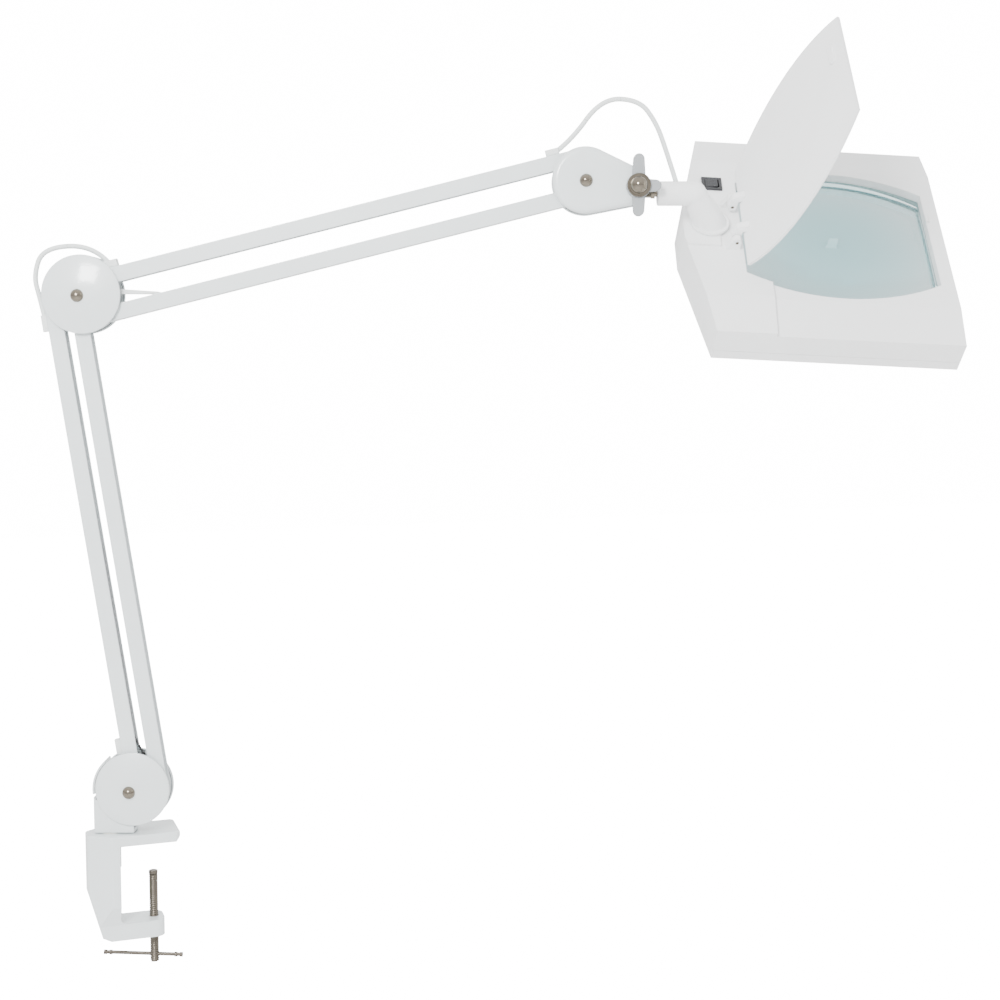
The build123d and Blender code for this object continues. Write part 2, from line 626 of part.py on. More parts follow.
def make_knuckle():
    """Tilt knuckle: an eye between the cheeks and the neck's swivel pin."""
    eye = rod_y(KNOB, 10.0, -CHEEK_IN + 0.1, CHEEK_IN - 0.1)
    arm = Pos(KNOB[0] + 8.0, 0, NECK_AXIS_Z + 1.0) * Box(10, 9, 9)
    pin = Location((KNOB[0] + 22.0, 0, NECK_AXIS_Z), (0, 90, 0)) * Cylinder(3.0, 22)
    shoulder = Location((KNOB[0] + 14.6, 0, NECK_AXIS_Z), (0, 90, 0)) * Cylinder(4.6, 3.6)
    knuckle = eye + arm + pin + shoulder
    knuckle -= rod_y(KNOB, 3.0 + FIT, -20, 20)
    save("tilt_knuckle", knuckle, ARM_FRAME)


def make_neck():
    """Moulded neck: a socket along x, an elbow and a tube down to the head's collar."""
    x0 = KNOB[0] + NECK_START
    length = ELBOW_POINT.X - x0
    neck = Location((x0 + length / 2, 0, NECK_AXIS_Z), (0, 90, 0)) * Cylinder(NECK_R, length)
    neck = fillet(neck.edges().group_by(Axis.X)[0], 1.2)
    neck += Pos(*ELBOW_POINT) * Sphere(NECK_R + 0.2)
    tube_plane = Plane(origin=COLLAR - TUBE_DIR * 12, z_dir=TUBE_DIR)
    neck += tube_plane.location * (Pos(0, 0, NECK_TUBE / 2 + 6) * Cone(15.5, NECK_R + 0.1, NECK_TUBE + 12))
    neck += HEAD_LOCAL.location * (Pos(0, 0, COLLAR_N + 1.6) * Cylinder(COLLAR_R, 2.4))
    neck -= HEAD_LOCAL.location * (Pos(0, 0, COLLAR_N + 0.4 - 30) * Box(120, 120, 60))
    neck += HEAD_LOCAL.location * (Pos(0, 0, COLLAR_N - 5.7) * Cylinder(7.0, 12.8))
    neck -= Location((KNOB[0] + 24.0, 0, NECK_AXIS_Z), (0, 90, 0)) * Cylinder(3.0 + FIT, 20)
    corner, hole = [Vector(*point) for point in head_route()[2][-2:]]
    slope = (hole - corner).normalized()
    neck -= rod_between(hole - slope * 10, hole + slope * 5, CABLE_R + 1.0)
    save("neck_elbow", neck, ARM_FRAME)
    nut = HEAD_LOCAL.location * (Pos(0, 0, -4.2) * Cylinder(12.0, 3.0) - Pos(0, 0, -4.2) * Cylinder(
        7.0 + SNUG, 4.0))
    save("neck_nut", nut, ARM_FRAME)


# ---------------------------------------------------------------- head

def barrel(grow):
    """Lens outline: straight ends and bowed long sides, grown outwards."""
    u0, u1 = OPEN_U0 - grow, OPEN_U1 + grow
    e, m = OPEN_HALF_END + grow, OPEN_HALF_MID + grow
    mid = (u0 + u1) / 2
    return make_face([
        Line((u0, -e), (u0, e)).edge(), ThreePointArc((u0, e), (mid, m), (u1, e)).edge(),
        Line((u1, e), (u1, -e)).edge(), ThreePointArc((u1, -e), (mid, -m), (u0, -e)).edge()])


def slab(face, low, high):
    """Plan-view face thickened between two heights."""
    return Pos(0, 0, low) * extrude(face, amount=high - low)


def head_plan(inset):
    """Outline of the housing seen from above, set in by a wall."""
    outline = make_face(Polyline(
        (HEAD_FRONT_U, -HEAD_HALF), (HEAD_FRONT_U, HEAD_HALF), (HEAD_SHOULDER_U, HEAD_HALF),
        (HEAD_NOSE_U, HEAD_NOSE_HALF), (HEAD_NOSE_U, -HEAD_NOSE_HALF), (HEAD_SHOULDER_U, -HEAD_HALF),
        close=True))
    if inset:
        outline = offset(outline, -inset, kind=Kind.INTERSECTION)
    return outline


def roof(drop, rise):
    """Space under the roof line: flat middle, sloping wings, lowered by a wall."""
    half = HEAD_HALF + 5
    edge = WING_DROP * (half - HEAD_FLAT_HALF) / (HEAD_HALF - HEAD_FLAT_HALF)
    line = Polyline(
        (-half, rise - drop - edge), (-HEAD_FLAT_HALF, rise - drop), (HEAD_FLAT_HALF, rise - drop),
        (half, rise - drop - edge), (half, -60), (-half, -60), close=True)
    section = Plane(origin=(-60, 0, 0), x_dir=(0, 1, 0), z_dir=(1, 0, 0)) * make_face(line)
    return extrude(section, amount=400)


def lug(u, n, v0, v1, radius):
    """Hinge lug: round eye with a root down to the panel."""
    shape = hull(disc((u, n), radius), disc((u - 6, PANEL_RISE - 1), 3.0), disc((u + 1, PANEL_RISE - 1), 3.0))
    return plate_y(shape, v0, v1)


def make_shells():
    """Upper and lower housing shells."""
    upper = slab(head_plan(0), HEAD_SPLIT, 20) & roof(0, 0)
    raised = slab(head_plan(0), HEAD_SPLIT, 20) & roof(0, PANEL_RISE)
    upper += raised & (Pos(PANEL_END_U - 60, 0, 0) * Box(120, 400, 200))
    pedestal = Pos(-8.0, 0) * Rectangle(34.0, 2 * 29.0)
    upper += slab(pedestal, 0, PANEL_RISE + PEDESTAL_RISE) & slab(head_plan(0), -20, 20)
    hollow = slab(head_plan(HEAD_WALL), HEAD_SPLIT - 1, 20) & roof(HEAD_WALL, 0)
    hollow -= slab(barrel(5.0), -60, 30)
    upper -= hollow
    upper -= slab(barrel(0), -60, 30)
    upper -= slab(barrel(5.0 + SNUG), HEAD_SPLIT - 1, GASKET_TOP)
    upper -= Cylinder(7.0 + 0.3, 60)
    upper -= Pos(SWITCH_U, SWITCH_V, 0) * Box(15.04, 13.04, 60)
    for v in (28.5, -28.5):
        upper += lug(LID_PIVOT_U, LID_PIVOT_N, v - 3.5, v + 3.5, 4.2)
    upper -= rod_y((LID_PIVOT_U, LID_PIVOT_N), 1.5 + SNUG, -60, 60)
    # catch for the lid on the far rim
    upper += Pos(OPEN_U1 + 1.0, 28.0, 0.2) * Box(3.0, 9.0, 3.0)
    for u, v in BOSSES:
        upper += Pos(u, v, (HEAD_SPLIT - 1) / 2) * Cylinder(4.0, -HEAD_SPLIT - 1) & roof(0, 0)
        upper -= Pos(u, v, HEAD_SPLIT) * Cylinder(1.5 + SNUG, 20)
    save("head_upper_shell", upper, HEAD_FRAME)

    lower = slab(head_plan(0), HEAD_BOTTOM, HEAD_SPLIT)
    floor = HEAD_BOTTOM + HEAD_WALL
    inside = slab(head_plan(HEAD_WALL), floor, HEAD_SPLIT + 1)
    inside -= slab(barrel(5.0), -60, 0)
    lower -= inside
    lower += slab(barrel(5.0), HEAD_BOTTOM, GASKET_BOTTOM)
    lower -= slab(barrel(0), -60, 0)
    for side in (-1, 1):
        window = Pos(116, side * WINDOW_V) * RectangleRounded(WINDOW_U, WINDOW_WIDTH, 4)
        lower -= slab(window, HEAD_BOTTOM - 1, floor + 1)
    for u, v in BOSSES:
        lower += Pos(u, v, (floor + HEAD_SPLIT) / 2) * Cylinder(4.0, HEAD_SPLIT - floor)
        lower -= Pos(u, v, HEAD_BOTTOM) * Cylinder(1.5 + SNUG, 40)
        lower -= Pos(u, v, HEAD_BOTTOM) * Cylinder(3.2, 3.0)
    lower = chamfer(lower.edges().group_by(Axis.Z)[0].filter_by(lambda e: e.length > 25), 1.2)
    save("head_lower_shell", lower, HEAD_FRAME)

    screws = []
    for u, v in BOSSES:
        head = Pos(u, v, HEAD_BOTTOM + 0.75) * Cylinder(3.0, 1.5)
        head -= Pos(u, v, HEAD_BOTTOM) * (Box(4, 0.8, 1.4) + Box(0.8, 4, 1.4))
        screws.append(head + Pos(u, v, (HEAD_BOTTOM + 1.5 + HEAD_SPLIT + 8) / 2) * Cylinder(
            1.5, HEAD_SPLIT + 8 - HEAD_BOTTOM - 1.5))
    save("shell_screws", screws, HEAD_FRAME)


BOSSES = ((214.0, 121.0), (214.0, -121.0), (4.0, 121.0), (4.0, -121.0), (-17.0, 14.0), (-17.0, -14.0))
WINDOW_V = 108.0
WINDOW_U = 164.0
WINDOW_WIDTH = 26.0


def make_optics():
    """Lens, its gasket, and the light on either side of it."""
    mid_u = (OPEN_U0 + OPEN_U1) / 2
    lens = slab(barrel(1.6), LENS_TOP - LENS_THICK, LENS_TOP)
    lens &= Pos(mid_u, 0, LENS_TOP - LENS_RADIUS) * Sphere(LENS_RADIUS)
    lens &= Pos(mid_u, 0, LENS_TOP - LENS_THICK + LENS_RADIUS) * Sphere(LENS_RADIUS)
    save("lens", lens, HEAD_FRAME)
    gasket = slab(barrel(5.0), GASKET_BOTTOM, GASKET_TOP) - slab(barrel(2.0), -60, 10)
    save("lens_gasket", gasket, HEAD_FRAME)
    panes = []
    holders = []
    tubes = []
    troughs = []
    for side in (-1, 1):
        v = side * WINDOW_V
        pane = RectangleRounded(WINDOW_U - 0.1, WINDOW_WIDTH - 0.1, 4)
        panes.append(slab(Pos(116, v) * pane, HEAD_BOTTOM + 0.6, HEAD_BOTTOM + HEAD_WALL))
        holders.append(Pos(16, v, -22) * Box(16, 26, 15))
        legs = Location((166, v, -23), (90, 0, 0)) * Cylinder(2.6, 6)
        for shift in (-6.6, 6.6):
            leg = Location((24.05 + 78, v + shift, -23), (0, 90, 0)) * Cylinder(5.8, 156)
            legs += fillet(leg.edges().group_by(Axis.X)[-1], 3.0)
        tubes.append(legs)
        troughs.append(plate_reflector(side))
    save("diffusers", panes, HEAD_FRAME)
    save("lamp_holders", holders, HEAD_FRAME)
    save("lamp_tubes", tubes, HEAD_FRAME)
    save("reflectors", troughs, HEAD_FRAME)
    ballast = Pos(7, -60, -19) * Box(24, 50, 17)
    ballast = fillet(ballast.edges().filter_by(Axis.Z), 2)
    save("ballast", ballast, HEAD_FRAME)


def plate_reflector(side):
    """Bent metal reflector over a lamp tube."""
    sheet = 0.6
    top = -14.2
    outer = Polyline((-14.2, -30), (-14.2, -18), (-8, top), (8, top), (14.2, -18), (14.2, -30))
    band = offset(outer, sheet, side=Side.RIGHT, closed=True)
    section = Plane(origin=(28, side * WINDOW_V, 0), x_dir=(0, 1, 0), z_dir=(1, 0, 0)) * make_face(band)
    return extrude(section, amount=168)


def make_switch():
    """Rocker switch: frame with its body, and the rocker."""
    top = PANEL_RISE
    frame = Pos(SWITCH_U, SWITCH_V, top + 0.9) * Box(19.0, 17.0, 1.8)
    frame += Pos(SWITCH_U, SWITCH_V, top - 9.0) * Box(15.0, 13.0, 18.0)
    frame -= Pos(SWITCH_U, SWITCH_V, top - 1.0) * Box(13.2, 11.0, 12.0)
    save("switch_body", frame, HEAD_FRAME)
    pivot = (SWITCH_U, top - 2.0)
    rocker = plate_y(disc(pivot, 5.9) + Pos(SWITCH_U, top + 0.2) * Rectangle(11.6, 4.4), SWITCH_V - 5.2,
                     SWITCH_V + 5.2)
    rocker &= Pos(SWITCH_U, SWITCH_V, top - 1.0) * Box(12.2, 11, 7.6)
    rocker -= rod_y((SWITCH_U, top + 16.5), 14.4, SWITCH_V - 8, SWITCH_V + 8)
    rocker = Location((SWITCH_U, SWITCH_V, top - 2.0), (0, -6, 0)) * (
        Pos(-SWITCH_U, -SWITCH_V, 2.0 - top) * rocker)
    save("switch_rocker", rocker, HEAD_FRAME)


def make_lid():
    """Dust lid with its two gooseneck arms, drawn closed and then opened."""
    low = PANEL_RISE + 0.6
    lid = slab(barrel(2.5), low, low + LID_THICK)
    lid -= slab(barrel(0.9), low - 1, low + LID_THICK - 1.4)
    arms = []
    for v in (20.5, -20.5):
        path = hull(disc((LID_PIVOT_U, LID_PIVOT_N), 4.2), disc((LID_PIVOT_U + 8, LID_PIVOT_N + 1.2), 3.2))
        path += hull(disc((LID_PIVOT_U + 8, LID_PIVOT_N + 1.2), 3.2), disc((LID_PIVOT_U + 14, low + 2.2), 2.4))
        arms.append(plate_y(path, v - 3.8, v + 3.8))
    for item in arms:
        lid += item & slab(Pos(30, 0) * Rectangle(60, 200), low + 0.2, 40)
    lid -= rod_y((LID_PIVOT_U, LID_PIVOT_N), 1.5 + FIT, -60, 60)
    tab = Pos(OPEN_U1 - 14, 30.0, low + LID_THICK + 1.2) * Box(6, 22, 2.6)
    lid += fillet(tab.edges().filter_by(Axis.Z), 2.0)
    swing = Location((LID_PIVOT_U, 0, LID_PIVOT_N), (0, -LID_OPEN, 0)) * Location(
        (-LID_PIVOT_U, 0, -LID_PIVOT_N))
    save("dust_lid", swing * lid, HEAD_FRAME)
    pins = []
    for v in (24.4, -24.4):
        pins.append(rod_y((LID_PIVOT_U, LID_PIVOT_N), 1.5, v - 7.4, v + 7.4))
    save("lid_hinge_pins", pins, HEAD_FRAME)


def main():
    """Build every piece and report the joints' places."""
    os.makedirs("parts", exist_ok=True)
    make_clamp()
    make_clamp_screw()
    make_base()
    make_lower_bars()
    make_elbow()
    make_upper_bars()
    make_end()
    make_cables()
    make_knob()
    make_knuckle()
    make_neck()
    make_shells()
    make_optics()
    make_switch()
    make_lid()
    print(len(written), "nodes")
    places = {"base_a": BASE_PIVOT_A, "base_b": BASE_PIVOT_B, "elbow_a": ELBOW_PIVOT_A,
              "arm_a": ARM_PIVOT_A, "arm_b": ARM_PIVOT_B, "end_a": END_PIVOT_A, "knob": KNOB}
    for name, point in places.items():
        spot = ARM_FRAME * Location((point[0], 0, point[1]))
        print("joint", name, [round(c / 1000, 6) for c in spot.position])
    neck = ARM_FRAME * Location((ELBOW_POINT.X, 0, ELBOW_POINT.Z))
    print("joint neck", [round(c / 1000, 6) for c in neck.position])
    spots = (("collar", (0, 0, COLLAR_N)), ("lid", (LID_PIVOT_U, 0, LID_PIVOT_N)),
             ("switch", (SWITCH_U, SWITCH_V, PANEL_RISE - 2.0)))
    for name, spot in spots:
        placed = HEAD_FRAME * Location(spot)
        print("joint", name, [round(c / 1000, 6) for c in placed.position])
    for name, local in (("u", (1, 0, 0)), ("v", (0, 1, 0)), ("n", (0, 0, 1))):
        tip = (HEAD_FRAME * Location(local)).position - HEAD_FRAME.position
        print("axis", name, [round(c, 6) for c in tip])


main()
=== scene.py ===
"""Magnifying lamp on a desk clamp: procedural finishes, springs, threads and leads over the CAD frame."""
import json
import logging
import math
from abc import ABC, abstractmethod
from dataclasses import dataclass, field
from enum import Enum

import bpy
import numpy as np
from mathutils import Matrix, Vector


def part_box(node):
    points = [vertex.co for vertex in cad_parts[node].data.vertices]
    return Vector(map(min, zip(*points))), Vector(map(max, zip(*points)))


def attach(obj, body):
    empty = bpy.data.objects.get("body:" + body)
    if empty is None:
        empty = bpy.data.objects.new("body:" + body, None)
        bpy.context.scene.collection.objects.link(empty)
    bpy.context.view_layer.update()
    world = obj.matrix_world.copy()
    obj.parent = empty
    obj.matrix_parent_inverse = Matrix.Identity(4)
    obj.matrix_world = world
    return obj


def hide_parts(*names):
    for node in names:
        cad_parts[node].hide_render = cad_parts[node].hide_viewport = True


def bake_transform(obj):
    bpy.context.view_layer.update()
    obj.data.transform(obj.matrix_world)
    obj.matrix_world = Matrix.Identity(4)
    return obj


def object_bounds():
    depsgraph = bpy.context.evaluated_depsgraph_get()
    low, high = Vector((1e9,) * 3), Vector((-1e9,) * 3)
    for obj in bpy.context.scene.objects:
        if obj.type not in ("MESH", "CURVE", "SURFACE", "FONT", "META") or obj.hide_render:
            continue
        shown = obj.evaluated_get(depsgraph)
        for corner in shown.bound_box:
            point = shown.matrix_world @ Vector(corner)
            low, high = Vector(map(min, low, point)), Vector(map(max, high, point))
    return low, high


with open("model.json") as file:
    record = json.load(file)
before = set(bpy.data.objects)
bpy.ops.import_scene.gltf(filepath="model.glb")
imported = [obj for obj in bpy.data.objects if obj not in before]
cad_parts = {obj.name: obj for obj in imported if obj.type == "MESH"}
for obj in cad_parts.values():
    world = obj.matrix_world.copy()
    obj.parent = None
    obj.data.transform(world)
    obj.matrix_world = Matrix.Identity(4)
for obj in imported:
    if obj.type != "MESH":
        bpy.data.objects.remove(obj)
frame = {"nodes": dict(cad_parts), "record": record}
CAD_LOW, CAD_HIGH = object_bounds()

logging.basicConfig(level=logging.INFO, format="%(message)s")
log = logging.getLogger("lamp")

MM = 0.001
STEEP = 0.7
Colour = tuple[float, float, float]
Point = tuple[float, float, float]


# ------------------------------------------------------------------ the arm's plane

class ArmPlane:
    """The plane the arm folds in: x along its reach, y across it, z up."""

    def __init__(self) -> None:
        """Reads the joints' places and the plane's direction from the record."""
        joints = frame["record"]["behaviour"]["joints"]
        self.joint = {j["name"]: j for j in joints}
        self.across = Vector(self.joint["lower_swing"]["axis"]).normalized()
        self.up = Vector((0, 0, 1))
        self.reach = self.across.cross(self.up).normalized()
        self.foot = Vector(self.joint["base_swivel"]["pos_m"])

    def place(self, name: str) -> Vector:
        """Point of a hinge, in metres."""
        return Vector(self.joint[name]["pos_m"])

    def near(self, origin: Vector, x: float, z: float, y: float = 0.0) -> Vector:
        """Point beside another one, by millimetres along the arm, up and across.

        Args:
            origin: The point to start from.
            x: Millimetres along the reach.
            z: Millimetres up.
            y: Millimetres across the arm, towards its far side.

        Returns:
            The point, in metres.
        """
        return origin + self.reach * (x * MM) + self.up * (z * MM) + self.across * (y * MM)

    def beside(self, start: Vector, end: Vector, along: float, shift: float) -> Vector:
        """Point beside a bar's centre line.

        Args:
            start: The bar's first pivot.
            end: Its second pivot.
            along: Millimetres from the first pivot towards the second.
            shift: Millimetres sideways: away from the reach on a steep bar, upwards on a flat one.

        Returns:
            The point, in metres.
        """
        run = (end - start).normalized()
        side = -run.cross(self.across).normalized()
        wrong_way = side.dot(self.reach) > 0 if abs(run.z) > STEEP else side.z < 0
        if wrong_way:
            side = -side
        return start + run * (along * MM) + side * (shift * MM)


# ------------------------------------------------------------------ finishes

class NodeGraph:
    """Short way to build a material's shader nodes."""

    def __init__(self, name: str) -> None:
        """Makes an empty material with its output and main shader."""
        self.material = bpy.data.materials.new(name)
        self.material.use_nodes = True
        self.tree = self.material.node_tree
        self.tree.nodes.clear()
        self.output = self.add("ShaderNodeOutputMaterial")
        self.shader = self.add("ShaderNodeBsdfPrincipled")
        self.link(self.shader.outputs[0], self.output.inputs[0])
        self.coords = self.add("ShaderNodeTexCoord").outputs["Object"]

    def add(self, kind: str, **settings: object) -> bpy.types.Node:
        """New node with its properties set."""
        node = self.tree.nodes.new(kind)
        for key, value in settings.items():
            setattr(node, key, value)
        return node

    def link(self, source: bpy.types.NodeSocket, target: bpy.types.NodeSocket) -> None:
        """Joins two sockets."""
        self.tree.links.new(source, target)

    def value(self, name: str, amount: object) -> None:
        """Sets a constant on the main shader."""
        self.shader.inputs[name].default_value = amount

    def noise(self, scale: float, detail: float = 3.0, stretch: Point = (1, 1, 1)) -> bpy.types.NodeSocket:
        """Fractal noise over the object, stretched along its axes."""
        mapping = self.add("ShaderNodeMapping")
        mapping.inputs["Scale"].default_value = stretch
        self.link(self.coords, mapping.inputs["Vector"])
        texture = self.add("ShaderNodeTexNoise")
        texture.inputs["Scale"].default_value = scale
        texture.inputs["Detail"].default_value = detail
        self.link(mapping.outputs[0], texture.inputs["Vector"])
        return texture.outputs["Fac"]

    def span(self, source: bpy.types.NodeSocket, low: float, high: float,
             start: float = 0.3, stop: float = 0.7) -> bpy.types.NodeSocket:
        """Maps a value from one range to another, clamped."""
        node = self.add("ShaderNodeMapRange")
        for key, amount in (("From Min", start), ("From Max", stop), ("To Min", low), ("To Max", high)):
            node.inputs[key].default_value = amount
        self.link(source, node.inputs["Value"])
        return node.outputs[0]

    def blend(self, factor: bpy.types.NodeSocket, first: Colour, second: Colour) -> bpy.types.NodeSocket:
        """Colour between two, by a factor."""
        node = self.add("ShaderNodeMix", data_type="RGBA")
        node.inputs[6].default_value = (*first, 1)
        node.inputs[7].default_value = (*second, 1)
        self.link(factor, node.inputs[0])
        return node.outputs[2]

    def rounded(self, radius: float) -> bpy.types.NodeSocket:
        """Normal that rolls over sharp edges, by a radius in metres."""
        node = self.add("ShaderNodeBevel", samples=6)
        node.inputs["Radius"].default_value = radius
        return node.outputs[0]

    def bump(self, height: bpy.types.NodeSocket, strength: float, distance: float,
             under: bpy.types.NodeSocket | None = None) -> bpy.types.NodeSocket:
        """Bump from a height, over an earlier one."""
        node = self.add("ShaderNodeBump")
        node.inputs["Strength"].default_value = strength
        node.inputs["Distance"].default_value = distance
        self.link(height, node.inputs["Height"])
        if under is not None:
            self.link(under, node.inputs["Normal"])
        return node.outputs[0]


@dataclass(frozen=True)
class Finish(ABC):
    """A surface's look: its slot in the record and its own recipe."""

    slot: str
    colour: Colour
    roughness: float = 0.4

    def shade(self, amount: float) -> Colour:
        """The base colour made darker or lighter."""
        return tuple(min(1.0, c * amount) for c in self.colour)

    @abstractmethod
    def dress(self, graph: NodeGraph) -> None:
        """Adds the finish's own nodes to a material."""

    def build(self) -> bpy.types.Material:
        """Makes the material."""
        graph = NodeGraph(self.slot)
        graph.value("Roughness", self.roughness)
        graph.value("Base Color", (*self.colour, 1))
        self.dress(graph)
        log.info("material %s", self.slot)
        return graph.material


@dataclass(frozen=True)
class Enamel(Finish):
    """Stoved paint: fine orange peel under a clear skin, faint dirt in broad patches."""

    peel: float = 420.0
    coat: float = 0.9
    edge: float = 0.0011

    def dress(self, graph: NodeGraph) -> None:
        """Paint colour, roughness and peel."""
        patches = graph.span(graph.noise(14.0, 4.0), 0.0, 1.0)
        paint = graph.blend(patches, self.shade(0.965), self.shade(1.01))
        graph.link(paint, graph.shader.inputs["Base Color"])
        wear = graph.noise(65.0, 6.0)
        graph.link(graph.span(wear, self.roughness - 0.05, self.roughness + 0.09),
                   graph.shader.inputs["Roughness"])
        peel = graph.bump(graph.noise(self.peel, 2.0), 0.10, 0.0004, graph.rounded(self.edge))
        fine = graph.bump(graph.noise(self.peel * 5, 1.0), 0.05, 0.0001, peel)
        graph.link(fine, graph.shader.inputs["Normal"])
        graph.value("Coat Weight", self.coat)
        graph.value("Coat Roughness", 0.12)
        graph.link(peel, graph.shader.inputs["Coat Normal"])


@dataclass(frozen=True)
class Moulded(Finish):
    """Injection-moulded plastic: fine spark-eroded grain and slight flow marks."""

    grain: float = 1500.0
    depth: float = 0.12
    through: float = 0.0
    edge: float = 0.0012

    def dress(self, graph: NodeGraph) -> None:
        """Plastic colour, grain and a little light carried under the skin."""
        flow = graph.span(graph.noise(9.0, 5.0, (1.0, 2.2, 1.0)), 0.0, 1.0)
        resin = graph.blend(flow, self.shade(0.975), self.shade(1.008))
        graph.link(resin, graph.shader.inputs["Base Color"])
        rub = graph.noise(48.0, 6.0, (1.0, 1.0, 2.0))
        graph.link(graph.span(rub, self.roughness - 0.04, self.roughness + 0.08),
                   graph.shader.inputs["Roughness"])
        waves = graph.bump(graph.noise(55.0, 2.0), 0.05, 0.0006, graph.rounded(self.edge))
        graph.link(graph.bump(graph.noise(self.grain, 2.0), self.depth, 0.00012, waves),
                   graph.shader.inputs["Normal"])
        if self.through:
            graph.value("Subsurface Weight", self.through)
            graph.value("Subsurface Radius", (0.004, 0.004, 0.0035))
            graph.value("Subsurface Scale", 1.0)


@dataclass(frozen=True)
class Metal(Finish):
    """Bare or plated metal with drawn streaks and tarnish."""

    streak: Point = (1.0, 1.0, 12.0)
    tarnish: Colour = (0.2, 0.17, 0.13)
    stain: float = 0.35

    def dress(self, graph: NodeGraph) -> None:
        """Metal colour, streaks and stains."""
        graph.value("Metallic", 1.0)
        stains = graph.span(graph.noise(160.0, 6.0), 0.0, self.stain, 0.45, 0.75)
        graph.link(graph.blend(stains, self.colour, self.tarnish), graph.shader.inputs["Base Color"])
        lines = graph.noise(900.0, 3.0, self.streak)
        graph.link(graph.span(lines, self.roughness - 0.05, self.roughness + 0.12),
                   graph.shader.inputs["Roughness"])
        graph.link(graph.bump(lines, 0.12, 0.0001), graph.shader.inputs["Normal"])


@dataclass(frozen=True)
class ClearGlass(Finish):
    """Ground optical glass with a faint green cast in its depth."""

    depth_tint: Colour = (0.26, 0.74, 0.78)
    density: float = 40.0

    def dress(self, graph: NodeGraph) -> None:
        """Clear skin with absorption inside and a trace of polishing haze."""
        graph.value("Transmission Weight", 1.0)
        graph.value("IOR", 1.52)
        haze = graph.noise(320.0, 4.0)
        graph.link(graph.span(haze, 0.0, self.roughness), graph.shader.inputs["Roughness"])
        absorb = graph.add("ShaderNodeVolumeAbsorption")
        absorb.inputs["Color"].default_value = (*self.depth_tint, 1)
        absorb.inputs["Density"].default_value = self.density
        graph.link(absorb.outputs[0], graph.output.inputs["Volume"])


FINISHES: dict[str, Finish] = {f.slot: f for f in (
    Enamel("white_enamel", (0.72, 0.77, 0.775), 0.34),
    Moulded("white_plastic", (0.90, 0.91, 0.91), 0.42, 1300.0, 0.08, 0.04),
    Moulded("lid_plastic", (0.93, 0.94, 0.94), 0.5, 1100.0, 0.06, 0.06),
    Moulded("cable_white", (0.76, 0.80, 0.79), 0.5, 900.0, 0.18),
    Moulded("boot_plastic", (0.80, 0.83, 0.82), 0.46, 1200.0, 0.15),
    Metal("bright_steel", (0.20, 0.175, 0.14), 0.12, (1, 1, 1), (0.08, 0.07, 0.05), 0.3),
    Metal("screw_steel", (0.13, 0.115, 0.095), 0.30, (1, 1, 3), (0.10, 0.085, 0.07), 0.6),
    Metal("spring_steel", (0.12, 0.12, 0.125), 0.32, (1, 1, 6), (0.08, 0.075, 0.07), 0.5),
    Moulded("nylon", (0.74, 0.74, 0.69), 0.45),
    Moulded("grey_plastic", (0.30, 0.32, 0.33), 0.38, 1000.0, 0.15),
    Moulded("black_plastic", (0.018, 0.019, 0.022), 0.28, 900.0, 0.10),
    ClearGlass("lens_glass", (1.0, 1.0, 1.0), 0.03),
    Moulded("lamp_glass", (0.86, 0.87, 0.85), 0.30),
    Moulded("diffuser_plastic", (0.84, 0.85, 0.83), 0.55, 700.0, 0.3, 0.1),
    Metal("reflector_aluminium", (0.82, 0.83, 0.84), 0.24),
    Metal("ballast_case", (0.48, 0.49, 0.50), 0.42),
    Moulded("gasket_rubber", (0.42, 0.56, 0.57), 0.55, 700.0, 0.2),
)}


class Wardrobe:
    """Builds each finish once and dresses pieces with it."""

    def __init__(self) -> None:
        """Builds every finish."""
        self.made = {name: finish.build() for name, finish in FINISHES.items()}

    def dress(self, piece: bpy.types.Object, slot: str) -> None:
        """Gives a piece one finish and names its slot."""
        piece.data.materials.clear()
        piece.data.materials.append(self.made[slot])

    def stand_in(self, piece: bpy.types.Object, slot: str, node: str) -> None:
        """Dresses a piece that takes the place of a CAD node.

        Args:
            piece: The detailed piece.
            slot: The finish's slot in the record.
            node: The plain node that it replaces.
        """
        self.dress(piece, slot)
        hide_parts(node)

    def dress_frame(self) -> None:
        """Dresses every CAD node with the finish of its slot."""
        for part in frame["record"]["subparts"]:
            self.dress(frame["nodes"][part["node"]], part["material_slot"])


# ------------------------------------------------------------------ mesh helpers

def grid_mesh(name: str, points: np.ndarray, wrap: bool, caps: bool = False) -> bpy.types.Object:
    """Mesh from a grid of points, rows along it and columns round it.

    Args:
        name: The object's name.
        points: Array of rows, columns and 3 coordinates, in metres.
        wrap: Whether the columns close round.
        caps: Whether the first and last rows are closed with a face.

    Returns:
        The object, at the origin.
    """
    rows, cols = points.shape[:2]
    row = np.arange(rows - 1)[:, None] * cols
    first = np.arange(cols if wrap else cols - 1)[None, :]
    second = (first + 1) % cols
    quads = np.stack([row + first, row + second, row + cols + second, row + cols + first], -1).reshape(-1, 4)
    faces = quads.tolist()
    if caps:
        faces.append(list(range(cols))[::-1])
        faces.append(list(range((rows - 1) * cols, rows * cols)))
    mesh = bpy.data.meshes.new(name)
    mesh.from_pydata(points.reshape(-1, 3).tolist(), [], faces)
    mesh.update()
    mesh.shade_smooth()
    piece = bpy.data.objects.new(name, mesh)
    bpy.context.scene.collection.objects.link(piece)
    return piece


